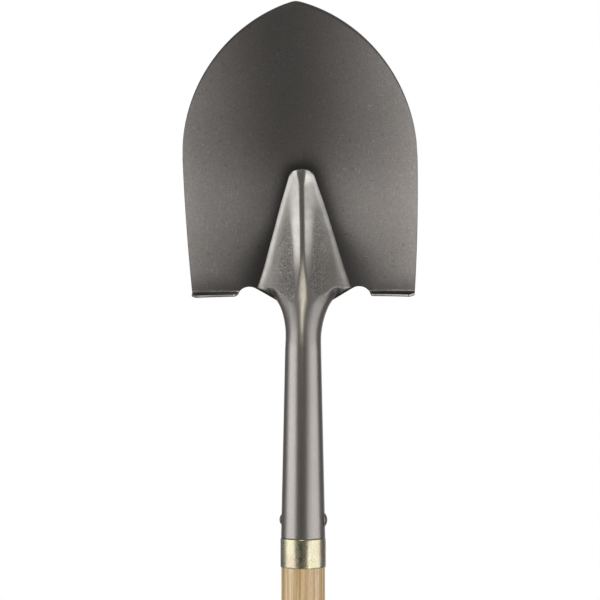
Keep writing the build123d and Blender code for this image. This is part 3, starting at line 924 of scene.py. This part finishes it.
def forged_steel(finish):
    """Dark lacquered steel: clouds, fine scratches, bright specks, and pits on the ridge's flanks."""
    s = Surface("forged_steel")
    flank, ridge, plate, beside, wear_and_highlight, ground = (s.attribute(name) for name in STEEL_TONES)
    clouds = s.step(s.noise(7.0, 5.0, 0.6), 0.30, 0.70, 0.0, 0.30)
    mottle = s.step(s.noise(560.0, 4.0, 0.75), 0.34, 0.66)
    base = s.blend(clouds, finish.steel, finish.steel_dark)
    base = s.blend(s.times(mottle, s.step(plate, 0.0, 1.0, 0.10, 0.5)), base, finish.steel_dark)
    blotch = s.step(s.noise(260.0, 3.0, 0.6), 0.60, 0.74, 0.0, 0.55)
    base = s.blend(s.times(blotch, plate), base, finish.steel_blotch)
    scratch = s.noise(1.0, 2.0, 0.5, s.stretched((900, 500, 110), (0, 0.7, 0)))
    scratch_two = s.noise(1.0, 2.0, 0.5, s.stretched((120, 500, 900), (0, 0.4, 0)))
    lines = s.math("MAXIMUM", s.step(scratch, 0.64, 0.74), s.step(scratch_two, 0.66, 0.76))
    specks = s.times(s.step(s.cells(340.0), 0.22, 0.10), s.step(s.noise(90.0, 2.0), 0.50, 0.60))
    light = s.math("MAXIMUM", s.times(lines, 0.32), s.times(specks, 0.45))
    light = s.times(light, s.step(plate, 0.0, 1.0, 0.25, 0.8))
    base = s.blend(light, base, finish.steel_scratch)
    pits = s.step(s.noise(800.0, 3.0, 0.65), 0.42, 0.60)
    pitted = s.times(pits, s.step(flank, 0.45, 0.95))
    skin = s.blend(pitted, finish.flank_skin, finish.flank_pit)
    flecks = s.times(s.step(s.noise(650.0, 2.0), 0.60, 0.70), s.step(flank, 0.5, 0.95, 0.0, 0.6))
    skin = s.blend(flecks, skin, finish.flank_fleck)
    base = s.blend(s.step(flank, 0.0, 0.7, 0.0, 0.85), base, skin)
    # Painted light across the middle of the plate
    base = s.blend(ground, base, PAINTED_LIGHT_LIFT, "MULTIPLY")
    # Painted shade beside the ridge, at the heel and on the rim's edge
    base = s.blend(s.times(s.times(beside, plate), 0.88), base, finish.steel_shade)
    # Wear and painted highlights on border, crest, flanks, tread lips and bends, and a lighter rim band
    bright = s.times(wear_and_highlight, s.math("SUBTRACT", 0.5, s.times(flank, 0.35)))
    bright = s.times(bright, s.step(s.noise(60.0, 3.0, 0.6), 0.30, 0.70, 0.55, 1.3))
    base = s.blend(bright, base, finish.steel_wear_and_highlight)
    rough = s.step(mottle, 0.0, 1.0, 0.32, 0.36)
    rough = s.math("SUBTRACT", rough, s.times(plate, 0.02))
    rough = s.math("ADD", rough, s.times(ridge, 0.02))
    rough = s.math("ADD", rough, s.times(flank, 0.10))
    grain = s.bump(s.noise(2600.0, 2.0), 0.00002, 0.12)
    relief = s.bump(pitted, 0.00012, 0.7, grain)
    s.set(base_color=base, metallic=1.0, roughness=rough, normal=relief)
    return s.material


def ash_wood(finish):
    """Sanded ash with its grain along the handle."""
    s = Surface("ash_wood")
    rings = s.noise(1.0, 4.0, 0.6, s.stretched((240, 240, 4.0)), 0.5)
    pores = s.noise(1.0, 3.0, 0.6, s.stretched((1100, 1100, 150)))
    tone = s.noise(1.0, 3.0, 0.5, s.stretched((110, 110, 2.0)))
    streaks = s.noise(1.0, 2.0, 0.5, s.stretched((300, 300, 6.0)))
    base = s.blend(s.step(rings, 0.36, 0.64), finish.wood_dark, finish.wood)
    base = s.blend(s.step(tone, 0.50, 0.62, 0.0, 0.7), base, finish.wood_red)
    base = s.blend(s.step(tone, 0.48, 0.36, 0.0, 0.7), base, finish.wood_yellow)
    base = s.blend(s.step(streaks, 0.53, 0.66, 0.0, 0.85), base, finish.wood_pale)
    base = s.blend(s.step(pores, 0.56, 0.68, 0.0, 0.7), base, finish.wood_pore)
    rough = s.step(rings, 0.3, 0.7, 0.44, 0.34)
    s.set(base_color=base, roughness=rough, ior=1.62, normal=s.bump(pores, 0.00008, 0.5))
    return s.material


def zinc_plating(finish):
    """Bright yellow plating with faint green and pink tints and a slightly wavy face."""
    s = Surface("zinc_plating")
    tint = s.noise(1.0, 3.0, 0.5, s.stretched((70, 70, 60)))
    base = s.blend(s.step(tint, 0.35, 0.65), finish.plating_green, finish.plating)
    base = s.blend(s.step(s.noise(60.0, 2.0), 0.52, 0.72, 0.0, 0.7), base, finish.plating_pink)
    spots = s.step(s.noise(480.0, 3.0, 0.6), 0.56, 0.72, 0.0, 0.5)
    base = s.blend(spots, base, finish.plating_spot)
    rough = s.step(s.noise(300.0, 3.0), 0.3, 0.7, 0.25, 0.33)
    waves = s.bump(s.noise(1.0, 2.0, 0.4, s.stretched((90, 90, 45))), 0.0004, 0.5)
    fine = s.bump(s.noise(1.0, 2.0, 0.5, s.stretched((60, 60, 2600))), 0.00001, 0.3, waves)
    s.set(base_color=base, metallic=1.0, roughness=rough, normal=fine)
    return s.material


def rivet_steel(finish):
    """Dark steel with hammer marks."""
    s = Surface("rivet_steel")
    dents = s.noise(420.0, 3.0, 0.5)
    base = s.blend(s.step(dents, 0.3, 0.7, 0.0, 0.6), finish.rivet, finish.rivet_light)
    rough = s.step(dents, 0.3, 0.7, 0.34, 0.46)
    s.set(base_color=base, metallic=0.9, roughness=rough, normal=s.bump(dents, 0.00025, 0.6))
    return s.material


# Steps round the turned pieces, and points along a rivet head's dome
ROUND_STEPS = 128
RIVET_STEPS = 64
DOME_POINTS = 8
# Distances from the handle's roundings at which an extra ring keeps its side straight
ABOVE_BUTT = 0.002
BELOW_MOUTH = 0.001


class SHOVEL_OT_forge_head(bpy.types.Operator):
    """Build blade, treads, ridge, neck and socket as one forging"""

    bl_idname = "shovel.forge_head"
    bl_label = "Forge head"

    def execute(self, context):
        form = HeadForm(context.scene)
        bm = bmesh.new()
        tones = {name: bm.verts.layers.float.new(name) for name in STEEL_TONES}
        add_plate(bm, form, tones)
        add_shank(bm, form, tones)
        steel = forged_steel(context.scene.shovel_finish)
        finish_piece(bm, "forged_head_skin", steel, "forged_head")
        return {"FINISHED"}


class SHOVEL_OT_turn_handle(bpy.types.Operator):
    """Turn the wooden handle with its tang"""

    bl_idname = "shovel.turn_handle"
    bl_label = "Turn handle"

    def execute(self, context):
        handle = context.scene.shovel_handle
        radius, mouth, top = handle.diameter / 2, context.scene.shovel_socket.mouth_z, HANDLE_HIGH.z
        root, tip = handle.tang_root / 2, handle.tang_tip / 2
        foot, neck = handle.butt_round + ABOVE_BUTT, mouth - BELOW_MOUTH
        side = [(radius, 0), (radius, foot), (radius, neck), (radius, mouth)]
        bm = bmesh.new()
        lathe(bm, [(0, 0)] + side + [(root, mouth), (tip, top), (0, top)], "Z", ROUND_STEPS)
        butt = ring_edges(bm, lambda co: co.z < SLACK and co.xy.length > SLACK)
        soften(bm, butt, handle.butt_round, 8)
        tang = ring_edges(bm, lambda co: co.z > top - SLACK and co.xy.length > SLACK)
        soften(bm, tang, handle.tip_round, 2)
        wood = ash_wood(context.scene.shovel_finish)
        finish_piece(bm, "ash_handle", wood, "handle")
        return {"FINISHED"}


class SHOVEL_OT_roll_ferrule(bpy.types.Operator):
    """Roll the plated ring at the socket mouth"""

    bl_idname = "shovel.roll_ferrule"
    bl_label = "Roll ferrule"

    def execute(self, context):
        fittings = context.scene.shovel_fittings
        outer = (FERRULE_HIGH.x - FERRULE_LOW.x) / 2
        inner = outer - fittings.ferrule_wall
        low, high = FERRULE_LOW.z, FERRULE_HIGH.z
        rest = 2 * fittings.ferrule_round
        side = [(outer, low), (outer, low + rest), (outer, high - rest), (outer, high)]
        bm = bmesh.new()
        lathe(bm, [(inner, low)] + side + [(inner, high)], "Z", ROUND_STEPS, closed=True)
        for end in (low, high):
            edges = ring_edges(bm, lambda co: co.xy.length > outer - SLACK and abs(co.z - end) < SLACK)
            soften(bm, edges, fittings.ferrule_round, 4)
        plating = zinc_plating(context.scene.shovel_finish)
        finish_piece(bm, "plated_ferrule", plating, "ferrule")
        return {"FINISHED"}


class SHOVEL_OT_set_rivet(bpy.types.Operator):
    """Set the rivet with its two domed heads"""

    bl_idname = "shovel.set_rivet"
    bl_label = "Set rivet"

    def head_profile(self, head, crown, seat, shank):
        """Points (radius, distance along the rivet) of a head with a domed crown."""
        skirt = sqrt(seat**2 - head**2)
        dome = (head**2 + crown**2) / (2 * crown)
        points = [(shank, skirt), (head, skirt), (head, seat)]
        for step in range(1, DOME_POINTS + 1):
            radius = head * (1 - step / DOME_POINTS)
            points.append((radius, seat + crown - dome + sqrt(dome**2 - radius**2)))
        return points

    def execute(self, context):
        fittings = context.scene.shovel_fittings
        shank = fittings.rivet_diameter / 2
        seat = RIVET_HIGH.x - fittings.rivet_crown
        made = self.head_profile(fittings.rivet_head / 2, fittings.rivet_crown, seat, shank)
        hammered = self.head_profile(fittings.set_head / 2, fittings.set_crown, seat, shank)
        bm = bmesh.new()
        lathe(bm, [(radius, -x) for radius, x in hammered[::-1]] + made, "X", RIVET_STEPS)
        bmesh.ops.translate(bm, verts=bm.verts[:], vec=(0, 0, (RIVET_LOW.z + RIVET_HIGH.z) / 2))
        steel = rivet_steel(context.scene.shovel_finish)
        finish_piece(bm, "socket_rivet", steel, "rivet")
        return {"FINISHED"}


# Floor: its radius, drop below the butt and roughness
FLOOR_RADIUS = 0.8
FLOOR_DROP = 0.001
FLOOR_ROUGH = 0.9
# Tones of the cards, and for each card its name, tone, centre, the place it faces and its size
DARK = (0.11, 0.11, 0.11, 1)
GREY = (0.45, 0.45, 0.45, 1)
CARDS = (
    ("card_front", DARK, (-0.1, -4.6, 0.2), (0, 0, 0.2), (6.2, 10.8)),
    ("card_left", GREY, (-2.2, 1.7, 1.2), (0, 0, 1.2), (2.6, 4.0)),
    ("card_right", GREY, (2.2, 1.7, 1.2), (0, 0, 1.2), (2.6, 4.0)),
)
# Place that the lamps face, and for each its name, azimuth, elevation, distance, size, power and colour
AIM = (0, -0.02, 1.24)
WHITE = (1.0, 1.0, 1.0)
WARM = (1.0, 0.995, 0.86)
SOFTBOXES = (
    ("softbox_left", -62, -3.6, 2.2, (2.25, 0.88), 20.3, WHITE),
    ("softbox_right", 76, -5.2, 2.2, (2.2, 1.08), 17.2, WHITE),
    ("softbox_flank", 38, -18, 3.0, (0.8, 0.3), 11, WHITE),
    ("softbox_low_left", -47, -20.5, 4.0, (4.6, 0.8), 18.8, WHITE),
    ("softbox_low_right", 38, -22, 4.0, (4.6, 0.6), 15.8, WHITE),
    ("softbox_top", -2, 22, 2.6, (0.6, 0.66), 19.5, WARM),
)
# Light that the white surroundings give
AMBIENT = 0.35
# View: metres to a pixel of the picture, turn and tilt in degrees, shift in pixels, and the height looked at
PIXEL = 0.97e-3
VIEW_TURN = 6.98
VIEW_TILT = 2.22
VIEW_SHIFT = (-3.16, -2000, -105.2)
VIEW_HEIGHT = 1.2405
LENS = 120
SENSOR = 36
CLIP_START = 0.05


def plain_material(name, base, rough):
    """An even matt material for the studio."""
    material = bpy.data.materials.new(name)
    material.use_nodes = True
    shader = material.node_tree.nodes["Principled BSDF"]
    shader.inputs["Base Color"].default_value = base
    shader.inputs["Roughness"].default_value = rough
    return material


def studio_floor(base):
    """A round pale floor under the butt."""
    bm = bmesh.new()
    bmesh.ops.create_circle(bm, cap_ends=True, segments=96, radius=FLOOR_RADIUS)
    bmesh.ops.translate(bm, verts=bm.verts[:], vec=(0, 0, -FLOOR_DROP))
    floor = add_object(bm, "floor", plain_material("floor_paper", base, FLOOR_ROUGH))


def studio_card(name, tone, centre, target, size):
    """A flat card that only reflections show."""
    bm = bmesh.new()
    bmesh.ops.create_grid(bm, x_segments=1, y_segments=1, size=0.5)
    bmesh.ops.scale(bm, vec=(*size, 1), verts=bm.verts[:])
    way = (Vector(target) - Vector(centre)).to_track_quat("Z", "Y").to_matrix().to_4x4()
    bmesh.ops.transform(bm, matrix=Matrix.Translation(centre) @ way, verts=bm.verts[:])
    card = add_object(bm, name, plain_material(name, tone, 1.0))
    card.visible_camera = False
    card.visible_diffuse = False
    card.visible_shadow = False


def softbox(name, azimuth, elevation, distance, size, power, tint):
    """A large soft lamp aimed at the middle of the head."""
    turn, lift = radians(azimuth), radians(elevation)
    away = Vector((sin(turn) * cos(lift), -cos(turn) * cos(lift), sin(lift)))
    lamp = bpy.data.lights.new(name, "AREA")
    lamp.shape = "RECTANGLE"
    lamp.size, lamp.size_y = size
    lamp.energy = power
    lamp.color = tint
    item = bpy.data.objects.new(name, lamp)
    item.location = Vector(AIM) + away * distance
    item.rotation_mode = "QUATERNION"
    item.rotation_quaternion = (-away).to_track_quat("-Z", "Y")
    item.visible_camera = False
    bpy.context.scene.collection.objects.link(item)


def white_world(scene):
    """White for what the camera and reflections see, softer for the light itself."""
    world = bpy.data.worlds.new("studio")
    world.use_nodes = True
    nodes, links = world.node_tree.nodes, world.node_tree.links
    rays = nodes.new("ShaderNodeLightPath")
    seen = rays.outputs["Is Camera Ray"]
    for ray in ("Is Glossy Ray", "Is Transmission Ray"):
        either = nodes.new("ShaderNodeMath")
        either.operation = "MAXIMUM"
        links.new(seen, either.inputs[0])
        links.new(rays.outputs[ray], either.inputs[1])
        seen = either.outputs["Value"]
    level = nodes.new("ShaderNodeMapRange")
    level.inputs["To Min"].default_value = AMBIENT
    level.inputs["To Max"].default_value = 1.0
    links.new(seen, level.inputs["Value"])
    links.new(level.outputs["Result"], nodes["Background"].inputs["Strength"])
    nodes["Background"].inputs["Color"].default_value = (1, 1, 1, 1)
    scene.world = world


def photo_camera(scene):
    """Camera at the photograph's viewing angle."""
    swing = Matrix.Rotation(-radians(VIEW_TURN), 4, "Z")
    nod = Matrix.Rotation(-radians(VIEW_TILT), 4, "X")
    view = nod @ swing @ Matrix.Translation((0, 0, -VIEW_HEIGHT))
    shift = Matrix.Translation(Vector(VIEW_SHIFT) * PIXEL)
    lens = bpy.data.cameras.new("camera")
    lens.lens = LENS
    lens.sensor_width = SENSOR
    lens.clip_start = CLIP_START
    camera = bpy.data.objects.new("camera", lens)
    camera.matrix_world = view.inverted() @ shift @ Matrix.Rotation(pi / 2, 4, "X")
    scene.collection.objects.link(camera)
    scene.camera = camera


class SHOVEL_OT_set_stage(bpy.types.Operator):
    """Set floor, studio light, cards and camera"""

    bl_idname = "shovel.set_stage"
    bl_label = "Set stage"

    def execute(self, context):
        scene = context.scene
        studio_floor(scene.shovel_finish.floor)
        for card in CARDS:
            studio_card(*card)
        for lamp in SOFTBOXES:
            softbox(*lamp)
        white_world(scene)
        photo_camera(scene)
        scene.view_settings.view_transform = "Standard"
        return {"FINISHED"}


class SHOVEL_PT_panel(bpy.types.Panel):
    """Lists the steps of the shovel"""

    bl_idname = "SHOVEL_PT_panel"
    bl_label = "Shovel"
    bl_space_type = "VIEW_3D"
    bl_region_type = "UI"
    bl_category = "Shovel"

    def draw(self, context):
        for step in STEPS:
            self.layout.operator(step.bl_idname)


STEPS = (
    SHOVEL_OT_forge_head,
    SHOVEL_OT_turn_handle,
    SHOVEL_OT_roll_ferrule,
    SHOVEL_OT_set_rivet,
    SHOVEL_OT_set_stage,
)
GROUPS = {
    "shovel_blade": ShovelBlade,
    "shovel_frog": ShovelFrog,
    "shovel_socket": ShovelSocket,
    "shovel_handle": ShovelHandle,
    "shovel_fittings": ShovelFittings,
    "shovel_finish": ShovelFinish,
}


def register():
    """Adds the settings, steps and panel."""
    for name, group in GROUPS.items():
        bpy.utils.register_class(group)
        setattr(bpy.types.Scene, name, PointerProperty(type=group))
    for step in STEPS:
        bpy.utils.register_class(step)
    bpy.utils.register_class(SHOVEL_PT_panel)


def unregister():
    """Removes the settings, steps and panel."""
    bpy.utils.unregister_class(SHOVEL_PT_panel)
    for step in reversed(STEPS):
        bpy.utils.unregister_class(step)
    for name, group in reversed(GROUPS.items()):
        delattr(bpy.types.Scene, name)
        bpy.utils.unregister_class(group)


def main():
    """Builds the shovel."""
    register()
    bpy.ops.shovel.forge_head()
    bpy.ops.shovel.turn_handle()
    bpy.ops.shovel.roll_ferrule()
    bpy.ops.shovel.set_rivet()
    bpy.ops.shovel.set_stage()
    bpy.context.view_layer.update()


if __name__ == "__main__":
    main()
